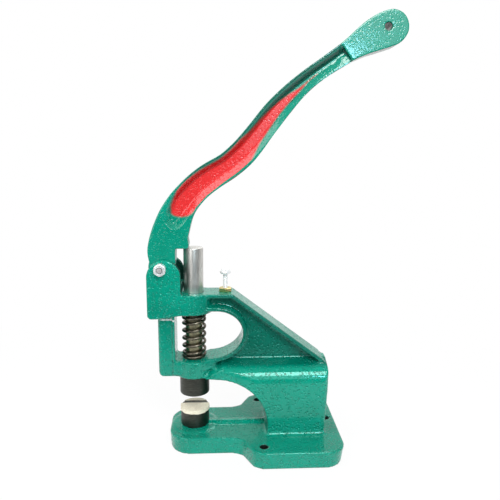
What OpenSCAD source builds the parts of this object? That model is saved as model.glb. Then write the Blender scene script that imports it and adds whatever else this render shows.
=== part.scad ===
// Hand lever press for snap buttons, eyelets and rivets.
// Millimetres. The ram's axis is X = 0, Y = 0, the table is Z = 0.
// +X runs from the ram to the rear column, +Y is the far side, +Z is up.
// Each module is one physical piece, shown in its rest position: lever up.

/* [Show] */
// piece to build, or all of them

/* [Base plate] */
// height of the base plate
base_h = 14; // [8:0.5:24]
// width of the front tongue that carries the anvil
tongue_w = 53; // [40:1:80]
// reach of the tongue in front of the ram's axis
tongue_front = 20.5; // [18:0.5:40]
// corner radius of the tongue's front end
tongue_r = 18; // [4:0.5:20]
// width over the rear wings
wing_w = 100; // [70:1:140]
// distance from the ram's axis to where the wings start to flare
wing_start = 35; // [26:0.5:45]
// length of the flare
wing_run = 17; // [8:0.5:30]
// blend radius at both ends of the flare
wing_r = 8; // [2:0.5:12]
// distance from the ram's axis to the base's rear edge
base_rear = 121; // [110:1:160]
// corner radius at the rear
rear_r = 15; // [3:0.5:20]
// diameter of the low round pad under the anvil
pad_d = 37; // [26:0.2:48]
// height of that pad over the base plate
pad_h = 0.8; // [0.4:0.1:3]
// width of the low rib from the pad to the column
rib_w = 8.5; // [5:0.5:20]
// height of that rib over the base plate
rib_h = 2.6; // [1:0.1:6]

/* [Fixing holes] */
// diameter of the three bench fixing holes
fix_d = 6.5; // [4:0.1:9]
// distance of the front pair from the ram's axis
fix_front_x = 56.3; // [52:0.1:60]
// spacing of the front pair across the base
fix_pitch = 78.8; // [64:0.2:84]
// distance of the rear hole from the ram's axis
fix_rear_x = 113.8; // [112.5:0.1:115]
// sideways place of the rear hole
fix_rear_y = 4; // [-8:0.5:8]

/* [Body and column] */
// thickness of the body and its rear column
body_w = 45; // [34:0.5:60]
// distance from the ram's axis to the column's front face
body_front = 60.5; // [54:0.5:68]
// distance from the ram's axis to the body's rear face, at its top
body_rear = 110.5; // [100:0.5:116]
// how far the rear face leans in at its foot
rear_lean = 3.2; // [0:0.1:4]
// radius of the throat's arch, from the lower boss to the column
arch_r = 38.5; // [20:0.5:45]
// height of the body over the throat, up to the shoulder's upper edge at the web
body_h = 14; // [10:0.1:18]
// fall of the shoulder from the web to its rounding, in degrees
shoulder_fall = 18; // [2:1:40]
// radius of the shoulder's big rounding
shoulder_r = 13; // [2:0.5:15]
// distance from the ram's axis to where the body has its full thickness
full_x = 50; // [36:0.5:58]
// slope of the shoulder's front end, towards the lower boss, in degrees
nose_slope = 36; // [20:1:60]
// height where that slope leaves the lower boss
nose_z = 64.4; // [61:0.2:70]
// radius of the body's upright rear corners
body_r = 5; // [1:0.5:9]
// radius of the hollow where the column stands on the base
foot_r = 2.6; // [0.5:0.1:3]

/* [Upper frame] */
// thickness of the window's rim, the top bar and the sloping flange
frame_w = 24.8; // [16:0.2:30]
// thickness of the web inside the rims
web_t = 8; // [4:0.5:14]
// width of the rims round the web
rim_t = 3.4; // [2:0.1:6]
// height of the top bar's upper face
bar_top = 130.6; // [124:0.2:134]
// distance from the ram's axis to where the flange starts to slope down
slope_x = 31.9; // [24:0.1:40]
// angle of the sloping flange below the level, in degrees
slope_a = 36.9; // [30:0.1:42]
// radius where the flange turns down into the rear face
slope_r = 12; // [3:0.5:16]

/* [Window] */
// distance from the ram's axis to the window's front wall
win_front = 15; // [14:0.2:18]
// distance from the ram's axis to the window's rearmost point
win_rear = 40.2; // [32:0.2:46]
// metal above the window, up to the top bar's upper face
win_down = 14.2; // [8:0.2:20]
// height of the window's floor over the shoulder
win_up = 2; // [0.5:0.1:6]
// how far below the window's top its rearmost point lies
win_half = 18.7; // [12:0.1:26]
// where the window's top starts to bend down
win_bend_top = 19; // [14:0.5:28]
// where the window's floor starts to bend up
win_bend_low = 12; // [11:0.5:26]

/* [Ram guides] */
// diameter of both guide bosses
boss_d = 31; // [26:0.5:40]
// height of the upper boss, down from the top bar's upper face
boss_up_h = 16.6; // [15:0.1:22]
// height of the lower boss
boss_low_h = 14.2; // [10:0.1:20]
// underside of the lower boss and the throat's highest point
boss_low_z = 60; // [54:0.2:64]
// radial clearance of the ram in its guides
guide_fit = 0.05; // [0.02:0.01:0.1]

/* [Front column] */
// thickness of the front column
col_w = 17; // [10:0.5:24]
// reach of the column's front face, in front of the pivot
col_reach = 4.1; // [1:0.1:8]
// rounding of the column's upright edges
col_r = 3; // [0.5:0.5:5]

/* [Ears] */
// thickness over both ears
ear_w = 31; // [26:0.5:40]
// gap between the ears
slot_w = 17; // [12:0.5:22]
// reach of the ears' front edge, in front of the pivot
ear_reach = 11.2; // [9:0.1:16]
// reach of the ears' rear edge, behind the pivot
ear_back = 15.6; // [12:0.1:16]
// how far the centre of the ears' round top lies below the pivot
ear_down = 6.9; // [3:0.1:9]
// height of the ears' lower edge below the top bar, at the front
ear_foot_down = 19.1; // [16.7:0.1:26]
// height of the gap's floor over the top bar
slot_up = 7.4; // [3:0.1:10]

/* [Lever pivot] */
// distance of the pivot in front of the ram's axis
pivot_x = 25; // [23:0.1:27]
// height of the pivot over the top bar
pivot_up = 22; // [19:0.1:24]
// diameter of the pivot bolt
pivot_d = 6; // [5:0.1:7]
// radial clearance of the bolt in the ears and in the lever's bush
pivot_fit = 0.05; // [0.02:0.01:0.1]
// nut and bolt head, across flats
pivot_af = 9; // [8:0.5:11]
// height of the nut
pivot_nut_h = 5; // [3:0.1:6]
// height of the bolt's head
pivot_head_h = 4; // [3:0.1:5]
// how far the bolt's end stands out of the nut
pivot_end = 0.8; // [0:0.1:2]
// outside diameter of the washer under the bolt's head
washer_d = 12; // [11:0.5:14]
// thickness of that washer
washer_t = 1.6; // [0.8:0.1:2]
// wall of the lever's bush
bush_wall = 1.5; // [1:0.1:2.5]

/* [Lever] */
// reach of the whole lever behind the pivot
lever_reach = 188.9; // [150:0.5:240]
// rise of the whole lever over the pivot
lever_rise = 195.8; // [150:0.5:240]
// thickness of the lever
handle_t = 16; // [10:0.5:16.5]
// radius of the lever's eye round the pivot
eye_r = 10.3; // [8:0.1:11]
// distance of the lever's neck in front of the ram's axis
neck_x = 13.8; // [12:0.1:15]
// distance of the nose's tip in front of the ram's axis
nose_x = 3.1; // [1:0.1:5]
// radius of the nose's rounded tip
nose_r = 2; // [1:0.1:4]
// clearance between the nose and the ram's top at rest
nose_gap = 0.1; // [0.05:0.05:0.5]
// rim beside the channel in the lever's side
chan_rim = 1.3; // [0.8:0.1:3]
// depth of the channel
chan_depth = 4.6; // [2:0.1:5.5]
// sideways run of the channel's sloping walls
chan_run = 4.8; // [1:0.1:5.2]
// diameter of the hanging hole in the paddle
hang_d = 6.2; // [3:0.1:9]
// distance of the hanging hole from the lever's rear end
hang_in = 15.7; // [12:0.1:24]
// distance of the hanging hole below the lever's top
hang_down = 12.2; // [9:0.1:16]

/* [Ram] */
// diameter of the ram in the upper guide
ram_d = 16; // [15:0.1:17]
// diameter of the ram below its shoulder, inside the spring
ram_low_d = 14; // [11:0.1:14.4]
// height of the ram's top face over the pivot
ram_up = 14.5; // [10:0.1:18]
// chamfer on the ram's top edge
ram_ch = 0.6; // [0.2:0.1:1.5]
// length of the tail that the head is fitted on
tail_l = 9; // [5:0.5:11]

/* [Ram head] */
// diameter of the die holder on the ram
head_d = 24.6; // [20:0.2:28]
// height of the head's lower face, above the table
head_z = 43.3; // [36:0.1:48]
// gap between the head and the lower boss when the lever is up
head_gap = 0.4; // [0.2:0.1:1]
// nominal diameter of the upper die's thread
die_d = 8; // [5:0.5:8]
// depth of the die's threaded hole
die_depth = 6.5; // [4:0.5:7]
// diameter of the head's grub screw
grub_d = 4; // [3:0.5:5]

/* [Spring] */
// outside diameter of the coil
spring_od = 20.2; // [19:0.1:22]
// diameter of the wire
wire_d = 2.4; // [1.6:0.1:2.5]
// lengthwise step of the closed end curls
end_rise = 2.9; // [2.5:0.1:3.5]
// closed curls at each end
end_turns = 1; // [0.5:0.25:1.5]
// open curls between them
open_turns = 4.5; // [3:0.25:6]
// gap between the spring and each of its seats
seat_gap = 0.15; // [0.05:0.05:0.3]
// thickness of the collar on the ram that the spring lifts
collar_t = 1.2; // [0.8:0.1:2]
// gap between the collar and the upper boss
collar_gap = 0.3; // [0.2:0.1:1]
// thickness of the snap ring that holds the collar
ring_t = 0.8; // [0.5:0.1:1]

/* [Anvil] */
// diameter of the anvil
anvil_d = 23.8; // [18:0.2:28]
// height of the anvil's top face
anvil_top = 30.2; // [24:0.1:34]
// diameter of the anvil's spigot in the base
spigot_d = 12; // [9:0.5:16]
// length of the spigot
spigot_l = 4; // [2:0.5:5]
// bore in the anvil for a lower die's stem, under the tape
seat_d = 10.6; // [8:0.1:12]
// thickness of metal left under that bore
seat_floor = 1.2; // [0.8:0.1:3]
// thread of the screw that holds the anvil down, inside the bore
anvil_screw_d = 6; // [4:0.5:6]
// head diameter of that screw
anvil_head_d = 10; // [7:0.5:10.5]
// head height of that screw
anvil_head_h = 6; // [3:0.1:7]
// height of the screw's lower end above the table
anvil_screw_z = 4; // [3:0.5:8]

/* [Masking tape] */
// thickness of the tape
tape_t = 0.3; // [0.2:0.05:0.5]
// how far the tape wraps down the anvil's side
tape_wrap = 3.4; // [1:0.1:6]
// gap between the two strips
tape_slit = 4.4; // [0.4:0.1:6]
// place of that gap's middle behind the anvil's centre
slit_y = 5.3; // [-6:0.1:7]

/* [Stop screw] */
// distance of the stop screw behind the ram's axis
stop_x = 25.9; // [22:0.1:28]
// diameter of the stop screw's shank
stop_d = 4; // [3:0.1:5]
// diameter of its pan head
stop_head_d = 8.8; // [6:0.1:10]
// height of its pan head
stop_head_h = 3.6; // [2:0.1:5]
// height of the head's top over the top bar
stop_up = 18.7; // [9:0.1:26]
// depth of the shank in the top bar
stop_depth = 9; // [5:0.5:12]
// brass lock nut, across flats
stop_af = 10; // [7:0.1:11]
// height of the lock nut
stop_nut_h = 3; // [2:0.1:5]

/* [Hidden] */
$fn = 64;
paint = [0.04, 0.56, 0.45];
steel = [0.72, 0.72, 0.70];
black = [0.13, 0.13, 0.12];
brass = [0.80, 0.66, 0.30];
paper = [0.84, 0.79, 0.68];
zinc = [0.85, 0.86, 0.86];
eps = 0.01;
far = 400;
// sides of the smooth outlines that are worked out point by point
arc_n = 16;
curve_n = 3;

shoulder_z = boss_low_z + body_h;
recess_floor = shoulder_z - 6;
// middle of the shoulder's rounding, and how far below the upper edge it lies
round_y = body_w / 2 - shoulder_r;
round_down = (round_y + shoulder_r * sin(shoulder_fall) - web_t / 2) * tan(shoulder_fall)
    + shoulder_r * cos(shoulder_fall);
boss_low_top = boss_low_z + boss_low_h;
boss_up_z = bar_top - boss_up_h;
win_top = bar_top - win_down;
win_floor = shoulder_z + win_up;
win_mid = win_top - win_half;
pivot_z = bar_top + pivot_up;
col_front = pivot_x + col_reach;
ear_front = pivot_x + ear_reach;
ear_rear = pivot_x - ear_back;
ear_z = pivot_z - ear_down;
ear_foot = bar_top - ear_foot_down;
slot_z = bar_top + slot_up;
ram_top = pivot_z + ram_up;
stop_top = bar_top + stop_up;
hang_x = lever_reach - pivot_x - hang_in;
hang_z = pivot_z + lever_rise - hang_down;
ear_r = (ear_front - ear_rear) / 2;
ear_x = -(ear_front + ear_rear) / 2;
slope_t = tan(slope_a);
body_foot = base_h - 1;
bush_r = pivot_d / 2 + pivot_fit + bush_wall;
nose_z0 = ram_top + nose_gap;
head_top = boss_low_z - head_gap;
collar_top = boss_up_z - collar_gap;
ram_step = collar_top;
collar_bot = collar_top - collar_t;
ring_bot = collar_bot - ring_t;
tail_z = head_top - tail_l;
pad_top = base_h + pad_h;
spring_z0 = boss_low_top + seat_gap + wire_d / 2;
spring_z1 = ring_bot - seat_gap - wire_d / 2;
spring_r = (spring_od - wire_d) / 2;
spring_turns = 2 * end_turns + open_turns;
open_rise = (spring_z1 - spring_z0 - 2 * end_turns * end_rise) / open_turns;
stop_seat = bar_top;
stop_low = stop_top - stop_head_h;
stop_mid = stop_top - stop_head_h * 0.7;

// Helpers

function arc(cx, cy, rx, ry, a0, a1, n) =
    [for (i = [0:n]) [cx + rx * cos(a0 + (a1 - a0) * i / n), cy + ry * sin(a0 + (a1 - a0) * i / n)]];

function rrect(x0, x1, y0, y1, r, n = 8) = concat(
    arc(x1 - r, y1 - r, r, r, 0, 90, n),
    arc(x0 + r, y1 - r, r, r, 90, 180, n),
    arc(x0 + r, y0 + r, r, r, 180, 270, n),
    arc(x1 - r, y0 + r, r, r, 270, 360, n));

// one point of the curve through b and c, between its neighbours a and d
function cr(a, b, c, d, t) =
    0.5 * (2 * b + (c - a) * t + (2 * a - 5 * b + 4 * c - d) * t * t + (3 * b - a - 3 * c + d) * t * t * t);

// a smooth line through the points p
function smooth(p, n) = let (m = len(p) - 1) concat(
    [for (i = [0:m - 1]) for (k = [0:n - 1])
        cr(p[max(i - 1, 0)], p[i], p[i + 1], p[min(i + 2, m)], k / n)],
    [p[m]]);

function mid(a, b, t) = a + (b - a) * t;
function rev(p) = [for (i = [len(p) - 1:-1:0]) p[i]];

// a half outline and its mirror image
function both_x(p) = concat(p, [for (q = rev(p)) if (q[0] > eps) [-q[0], q[1]]]);
function both_y(p) = concat(p, [for (q = rev(p)) if (q[1] < -eps) [q[0], -q[1]]]);
function unit(v) = v / norm(v);

// a flat outline in X and Z, thick across Y
module slab(pts, w) {
    rotate([90, 0, 0])
        linear_extrude(height = w, center = true)
            polygon(pts);
}

module hex(af, h) {
    cylinder(h = h, d = af / cos(30), $fn = 6);
}

// a bar along Y from y0 to y1, centred on x and z
module bar_y(x, z, d, y0, y1) {
    translate([x, y1, z])
        rotate([90, 0, 0])
            cylinder(h = y1 - y0, d = d);
}

// Cast frame

base_half = concat(
    [[-tongue_front, 0]],
    arc(-tongue_front + tongue_r, -tongue_w / 2 + tongue_r, tongue_r, tongue_r, 180, 270, arc_n),
    smooth([
        [wing_start - wing_r / 2, -tongue_w / 2],
        [wing_start + wing_run * 0.25, -mid(tongue_w, wing_w, 0.14) / 2],
        [wing_start + wing_run * 0.5, -mid(tongue_w, wing_w, 0.46) / 2],
        [wing_start + wing_run * 0.8, -mid(tongue_w, wing_w, 0.84) / 2],
        [wing_start + wing_run + wing_r / 2, -wing_w / 2]], 4),
    arc(base_rear - rear_r, -wing_w / 2 + rear_r, rear_r, rear_r, 270, 360, 8));

module base_plate() {
    linear_extrude(height = base_h) {
        polygon(both_y(base_half));
    }
    cylinder(h = pad_top, d = pad_d);
    // the rib's section is a low half round
    intersection() {
        translate([0, 0, base_h - 1])
            rotate([90, 0, 90])
                linear_extrude(height = body_front + 2)
                    polygon(arc(0, 0, rib_w / 2, rib_h + 1, 0, 180, arc_n));
        translate([-far / 2, -far / 2, 0])
            cube([far, far, far]);
    }
}

// outline of the body in X and Z, from the lower boss over the shoulder and down the rear
body_side = concat(
    [[0, boss_low_z], [0, shoulder_z]],
    [[body_rear, shoulder_z], [body_rear, shoulder_z - round_down]],
    [[body_rear - rear_lean, body_foot], [body_front, body_foot]],
    arc(body_front - arch_r, boss_low_z - arch_r, arch_r, arch_r, 0, 90, 24));

// half section of the body in Y and Z, round an upper edge at height z and a foot at height z0
function body_section(z, z0) = concat(
    [[0, z0], [body_w / 2, z0]],
    arc(round_y, z - round_down, shoulder_r, shoulder_r, 0, 90 - shoulder_fall, arc_n),
    [[web_t / 2, z], [0, z]]);

body_plan = concat(
    [[0, 0]],
    [[0, -boss_d / 2 + 2]],
    smooth([
        [boss_d * 0.2, -boss_d / 2 + 0.4],
        [mid(boss_d * 0.2, full_x, 0.35), -mid(boss_d, body_w, 0.32) / 2],
        [mid(boss_d * 0.2, full_x, 0.7), -mid(boss_d, body_w, 0.76) / 2],
        [full_x, -body_w / 2]], 4),
    arc(body_rear - body_r, -body_w / 2 + body_r, body_r, body_r, 270, 360, 8));

// the hollow flare at the column's foot: from x0 or -y0 outwards, in either section
foot_rear = body_rear - rear_lean;
function flare(x, side) = [for (a = [0:15:90])
    [x + side * foot_r * (1 - sin(a)), base_h + foot_r * (1 - cos(a))]];
foot_side = concat(
    [[body_front - foot_r, body_foot], [foot_rear + foot_r, body_foot]],
    flare(foot_rear, 1), rev(flare(body_front, -1)));
foot_half = concat([[0, body_foot], [body_w / 2 + foot_r, body_foot]], flare(body_w / 2, 1),
    [[0, base_h + foot_r]]);

module body_foot() {
    intersection() {
        slab(foot_side, body_w + 2 * foot_r + 2);
        rotate([90, 0, 90])
            linear_extrude(height = far / 2)
                polygon(both_x(foot_half));
        linear_extrude(height = far / 2)
            polygon(rrect(body_front - foot_r, foot_rear + foot_r, -body_w / 2 - foot_r,
                body_w / 2 + foot_r, body_r + foot_r));
    }
}

module mirrored_y() {
    children();
    mirror([0, 1, 0])
        children();
}

module body_block() {
    intersection() {
        slab(body_side, body_w + 2);
        rotate([90, 0, 90])
            linear_extrude(height = far / 2)
                polygon(both_x(body_section(shoulder_z, 0)));
        translate([boss_d * 0.29, 0, nose_z])
            rotate([0, -nose_slope, 0])
                translate([-far / 2, 0, 0])
                    rotate([90, 0, 90])
                        linear_extrude(height = far)
                            polygon(both_x(body_section(0, -far / 2)));
        linear_extrude(height = far / 2)
            polygon(both_y(body_plan));
    }
}

// outline of the frame above the shoulder, in X and Z
slope_end = bar_top - (body_rear - slope_x) * slope_t;
slope_tan = slope_r * tan((90 - slope_a) / 2);
frame_side = concat(
    [[-win_front - 2, bar_top], [-win_front - 2, boss_low_z + 2], [0, boss_low_z + 2]],
    [[boss_d / 2, recess_floor], [body_rear - 1, recess_floor], [body_rear - 1, recess_floor + 1]],
    arc(body_rear - slope_r, slope_end - slope_tan, slope_r, slope_r, 0, 90 - slope_a, 8),
    [[slope_x, bar_top]]);

function win_pts(g) = concat(
    [[-win_front - g, boss_low_top - g], [boss_d * 0.26, boss_low_top - g]],
    arc(win_bend_low, win_mid, win_rear - win_bend_low + g, win_mid - win_floor + g, -88, 0, arc_n),
    arc(win_bend_top, win_mid, win_rear - win_bend_top + g, win_top - win_mid + g, 6, 90, arc_n),
    [[-win_front - g, win_top + g]]);

// the recess on each side of the web
recess_x = boss_d * 0.36;
recess_pts = [
    [recess_x, bar_top - rim_t],
    [slope_x - rim_t * tan(slope_a / 2), bar_top - rim_t],
    [slope_x + (bar_top - rim_t / cos(slope_a) - recess_floor) / slope_t, recess_floor],
    [recess_x, recess_floor]];

below_window = [
    [0, win_floor + rim_t], [0, 0], [win_bend_low + 6, 0], [win_bend_low + 6, win_floor + rim_t]];

module recess() {
    difference() {
        slab(recess_pts, frame_w + 2);
        slab(win_pts(rim_t), frame_w + 4);
        slab(below_window, frame_w + 4);
        cube([far, web_t, far], center = true);
        intersection() {
            body_block();
            cube([far, far, 2 * shoulder_z], center = true);
        }
    }
}

module upper_frame() {
    difference() {
        slab(frame_side, frame_w);
        slab(win_pts(0), frame_w + 2);
        recess();
    }
}

module guide_boss(z0, z1) {
    translate([0, 0, z0])
        cylinder(h = z1 - z0, d = boss_d);
}

col_plan = concat(
    arc(-col_front + col_r, -col_w / 2 + col_r, col_r, col_r, 180, 270, 6),
    smooth([
        [-win_front - 1, -col_w / 2],
        [-win_front + 3.5, -col_w / 2 - 1.6],
        [-boss_d * 0.24, -boss_d / 2 + 1.8]], 4),
    [[0, -boss_d / 2 + 1.8], [0, 0], [-col_front, 0]]);

module front_column() {
    // the foot that joins the column to the lower boss
    intersection() {
        linear_extrude(height = boss_low_top)
            mirrored_y()
                polygon(col_plan);
        slab(concat(
            arc(-col_front + 4, boss_low_z + 4, 4, 4, 180, 270, 6),
            [[0, boss_low_z], [0, boss_low_top], [-col_front, boss_low_top]]), far);
    }
    // the upright
    translate([0, 0, boss_low_z + 5])
        linear_extrude(height = ear_foot + 6 - boss_low_z - 5)
            polygon(rrect(-col_front, -win_front, -col_w / 2, col_w / 2, col_r, 6));
}

ear_side = concat(
    [[-ear_front + 2, ear_foot], [-col_front, ear_foot], [-ear_rear, boss_up_z], [0, boss_up_z]],
    [[0, bar_top], [-ear_rear, bar_top]],
    arc(ear_x, ear_z, ear_r, ear_r, 0, 180, 24),
    [[-ear_front, ear_foot + 2]]);

module ear_block() {
    // right of the ears' rear edge, the boss takes over
    intersection() {
        slab(ear_side, ear_w);
        union() {
            translate([-far - boss_d * 0.1, -far / 2, 0])
                cube([far, far, far]);
            guide_boss(0, far);
        }
    }
}

module cast_frame() {
    color(paint)
        difference() {
            union() {
                base_plate();
                body_block();
                body_foot();
                upper_frame();
                guide_boss(boss_low_z, boss_low_top);
                guide_boss(boss_up_z, bar_top);
                front_column();
                ear_block();
            }
            // gap for the lever between the ears
            translate([-ear_front - 1, -slot_w / 2, slot_z])
                cube([ear_front + 1 + ear_rear, slot_w, far / 4]);
            // pivot bolt's holes
            bar_y(-pivot_x, pivot_z, pivot_d + 2 * pivot_fit, -ear_w, ear_w);
            // guides of the ram
            translate([0, 0, boss_up_z - 1])
                cylinder(h = bar_top - boss_up_z + 2, d = ram_d + 2 * guide_fit);
            translate([0, 0, boss_low_z - 1])
                cylinder(h = boss_low_top - boss_low_z + 2, d = ram_low_d + 2 * guide_fit);
            // bench fixing holes
            for (p = [[fix_front_x, -fix_pitch / 2], [fix_front_x, fix_pitch / 2], [fix_rear_x, fix_rear_y]])
                translate([p[0], p[1], -1])
                    cylinder(h = base_h + 2, d = fix_d);
            // seat of the anvil's spigot, and the threaded hole of its screw
            translate([0, 0, pad_top - spigot_l])
                cylinder(h = spigot_l + 1, d = spigot_d);
            translate([0, 0, anvil_screw_z - 0.5])
                cylinder(h = pad_top, d = anvil_screw_d);
            // stop screw's threaded hole
            translate([stop_x, 0, bar_top - stop_depth - 0.5])
                cylinder(h = stop_depth + 1.5, d = stop_d);
        }
}

// Lever

// the reach and the rise that the lever's points below are drawn at, seen from X = -25 and Z = 152.6
drawn = [188.9, 195.8];
function lev(p) = [
    -pivot_x + (p[0] + 25) * lever_reach / drawn[0],
    pivot_z + (p[1] - 152.6) * lever_rise / drawn[1]];
function levs(p) = [for (q = p) lev(q)];

// the lever's two edges, as pairs of points facing each other: upper edge, lower edge
drawn_pairs = [
    [[-31.0, 185.0], [-2.6, 180.5]],
    [[-25.5, 197.2], [-0.1, 190.2]],
    [[-17.6, 209.2], [3.5, 197.7]],
    [[-8.9, 218.8], [8.6, 204.4]],
    [[0.8, 227.6], [14.1, 209.8]],
    [[10.8, 234.5], [22.6, 216.2]],
    [[21.8, 240.7], [34.0, 223.6]],
    [[31.2, 248.8], [45.1, 232.8]],
    [[39.3, 257.6], [54.0, 243.2]],
    [[46.8, 266.7], [62.5, 255.2]],
    [[55.0, 276.9], [70.2, 265.3]],
    [[63.9, 286.1], [78.0, 275.2]],
    [[74.8, 295.8], [86.6, 285.4]],
    [[87.0, 305.2], [97.6, 295.3]],
    [[99.4, 313.9], [109.0, 303.2]],
    [[112.9, 323.7], [122.1, 311.1]]];
lever_pairs = [for (p = drawn_pairs) levs(p)];

lever_last = len(lever_pairs) - 1;
lever_up = smooth([for (p = lever_pairs) p[0]], curve_n);
lever_low = smooth([for (p = lever_pairs) p[1]], curve_n);

paddle = smooth(concat([lever_pairs[lever_last][0]], levs([
    [119.0, 328.9], [126.2, 335.6], [133.5, 341.3], [141.0, 345.5],
    [148.2, 348.1], [154.0, 348.1], [159.6, 345.4], [163.0, 340.4], [163.9, 334.4],
    [161.6, 328.8], [156.8, 324.2], [149.8, 321.5], [142.3, 319.1], [134.8, 316.7],
    [127.3, 313.7]]), [lever_pairs[lever_last][1]]), curve_n);

neck_front = smooth([
    [-pivot_x - eye_r * 0.9, pivot_z + eye_r * 0.3], lev([-35.3, 160.4]), lev([-35.7, 166.4]), lev([-33.9, 175.9]),
    lever_pairs[0][0]], curve_n);
neck_rear = smooth([
    lever_pairs[0][1], [-nose_x - nose_r * 0.3, nose_z0 + nose_r * 4], [-nose_x, nose_z0 + nose_r * 1.75]], 2);

lever_outline = concat(
    neck_front, lever_up, paddle, rev(lever_low), neck_rear,
    arc(-nose_x - nose_r, nose_z0 + nose_r, nose_r, nose_r, 0, -90, 6),
    [[-neck_x, nose_z0], [-neck_x, pivot_z], [-pivot_x, pivot_z]]);

// the channel's rims stand further in at its lower end: station, width of the rim
rim_up_at = [[1, chan_rim * 3.7], [2, chan_rim * 1.4], [3, chan_rim]];
rim_low_at = [[1, chan_rim * 3.3], [2, chan_rim * 1.2], [3, chan_rim]];

// the rounded lower end: two corners at the lever's face, two at the floor
chan_end = [
    levs([[-17.6, 183.0], [-12.3, 182.7], [-13.2, 187.2], [-15.9, 187.2]]),
    levs([[-20.7, 187.6], [-7.6, 186.8], [-11.0, 190.3], [-16.7, 190.9]])];

// one cross-section of the channel, in the same order
function chan_ring(i) = let (
    a = lever_up[i], b = lever_low[i],
    w = norm(b - a), u = unit(b - a),
    up = lookup(i / curve_n, rim_up_at), low = lookup(i / curve_n, rim_low_at),
    run = min(chan_run, (w - up - low) / 2 - 1),
    k = 0.2 * run / (chan_depth + 0.2))
    [a + u * (up - k), b - u * (low - k), b - u * (low + run), a + u * (up + run)];

chan_first = curve_n;
chan_rings = concat(chan_end, [for (i = [chan_first:len(lever_up) - 1]) chan_ring(i)]);
chan_last = len(chan_rings) - 1;
chan_y = [-handle_t / 2 - 0.2, -handle_t / 2 - 0.2, -handle_t / 2 + chan_depth, -handle_t / 2 + chan_depth];
chan_points = [for (r = chan_rings) for (k = [0:3]) [r[k][0], chan_y[k], r[k][1]]];
chan_faces = concat(
    [[0, 1, 2], [0, 2, 3]],
    [for (s = [0:chan_last - 1]) for (k = [0:3]) let (p = 4 * s + k, q = 4 * s + (k + 1) % 4)
        each [[p, p + 4, q], [q, p + 4, q + 4]]],
    [[4 * chan_last, 4 * chan_last + 2, 4 * chan_last + 1],
     [4 * chan_last, 4 * chan_last + 3, 4 * chan_last + 2]]);

module channel() {
    polyhedron(points = chan_points, faces = chan_faces, convexity = 6);
}

module handle() {
    color(paint)
        difference() {
            union() {
                slab(lever_outline, handle_t);
                bar_y(-pivot_x, pivot_z, 2 * eye_r, -handle_t / 2, handle_t / 2);
            }
            mirrored_y()
                channel();
            bar_y(-pivot_x, pivot_z, 2 * bush_r, -handle_t, handle_t);
            bar_y(hang_x, hang_z, hang_d, -handle_t, handle_t);
        }
}

module handle_bush() {
    color(steel)
        difference() {
            bar_y(-pivot_x, pivot_z, 2 * bush_r, -handle_t / 2 - 0.2, handle_t / 2 + 0.2);
            bar_y(-pivot_x, pivot_z, pivot_d + 2 * pivot_fit, -handle_t, handle_t);
        }
}

// Pivot hardware

module pivot_bolt() {
    color(zinc)
        union() {
            bar_y(-pivot_x, pivot_z, pivot_d, -ear_w / 2 - pivot_nut_h - pivot_end, ear_w / 2 + washer_t);
            translate([-pivot_x, ear_w / 2 + washer_t + pivot_head_h, pivot_z])
                rotate([90, 0, 0])
                    hex(pivot_af, pivot_head_h);
        }
}

module pivot_washer() {
    color(zinc)
        difference() {
            bar_y(-pivot_x, pivot_z, washer_d, ear_w / 2, ear_w / 2 + washer_t);
            bar_y(-pivot_x, pivot_z, pivot_d + 0.4, ear_w / 2 - 1, ear_w / 2 + washer_t + 1);
        }
}

module pivot_nut() {
    color(zinc)
        difference() {
            translate([-pivot_x, -ear_w / 2, pivot_z])
                rotate([90, 30, 0])
                    hex(pivot_af, pivot_nut_h);
            bar_y(-pivot_x, pivot_z, pivot_d, -ear_w, 0);
        }
}

// Ram

module ram() {
    color(steel)
        difference() {
            rotate_extrude()
                polygon([
                    [0, tail_z], [ram_low_d / 2 - 0.6, tail_z], [ram_low_d / 2, tail_z + 0.6],
                    [ram_low_d / 2, ram_step], [ram_d / 2, ram_step],
                    [ram_d / 2, ram_top - ram_ch], [ram_d / 2 - ram_ch, ram_top], [0, ram_top]]);
            // groove of the snap ring
            difference() {
                translate([0, 0, ring_bot])
                    cylinder(h = ring_t, d = ram_d + 2);
                translate([0, 0, ring_bot - 1])
                    cylinder(h = ring_t + 2, d = ram_low_d - 1);
            }
        }
}

module ram_head() {
    color(black)
        difference() {
            rotate_extrude()
                polygon([
                    [0, head_z], [head_d / 2 - 0.8, head_z], [head_d / 2, head_z + 0.8],
                    [head_d / 2, head_top - 0.5], [head_d / 2 - 0.5, head_top], [0, head_top]]);
            translate([0, 0, tail_z - 0.2])
                cylinder(h = tail_l + 1, d = ram_low_d);
            translate([0, 0, head_z - 1])
                cylinder(h = die_depth + 1, d = die_d);
            bar_y(0, head_top - tail_l / 2, grub_d, 0, head_d);
        }
}

module head_grub_screw() {
    color(black)
        difference() {
            bar_y(0, head_top - tail_l / 2, grub_d, ram_low_d / 2 + 0.02, head_d / 2 - 0.3);
            translate([0, head_d / 2, head_top - tail_l / 2])
                rotate([90, 0, 0])
                    hex(grub_d / 2, 2.2);
        }
}

module spring_collar() {
    color(steel)
        difference() {
            translate([0, 0, collar_bot])
                cylinder(h = collar_t, d = spring_od);
            translate([0, 0, collar_bot - 1])
                cylinder(h = collar_t + 2, d = ram_low_d + 0.02);
        }
}

module collar_ring() {
    color(black)
        difference() {
            translate([0, 0, ring_bot])
                cylinder(h = ring_t, d = ram_low_d + 3);
            translate([0, 0, ring_bot - 1])
                cylinder(h = ring_t + 2, d = ram_low_d - 1);
            // the ring's open side
            translate([0, -1.5, ring_bot - 1])
                cube([ram_d, 3, ring_t + 2]);
        }
}

// Return spring: one unbroken round wire

function spring_z(t) =
    t < end_turns ? spring_z0 + t * end_rise :
    t < end_turns + open_turns ? spring_z0 + end_turns * end_rise + (t - end_turns) * open_rise :
    spring_z1 - (spring_turns - t) * end_rise;

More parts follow.
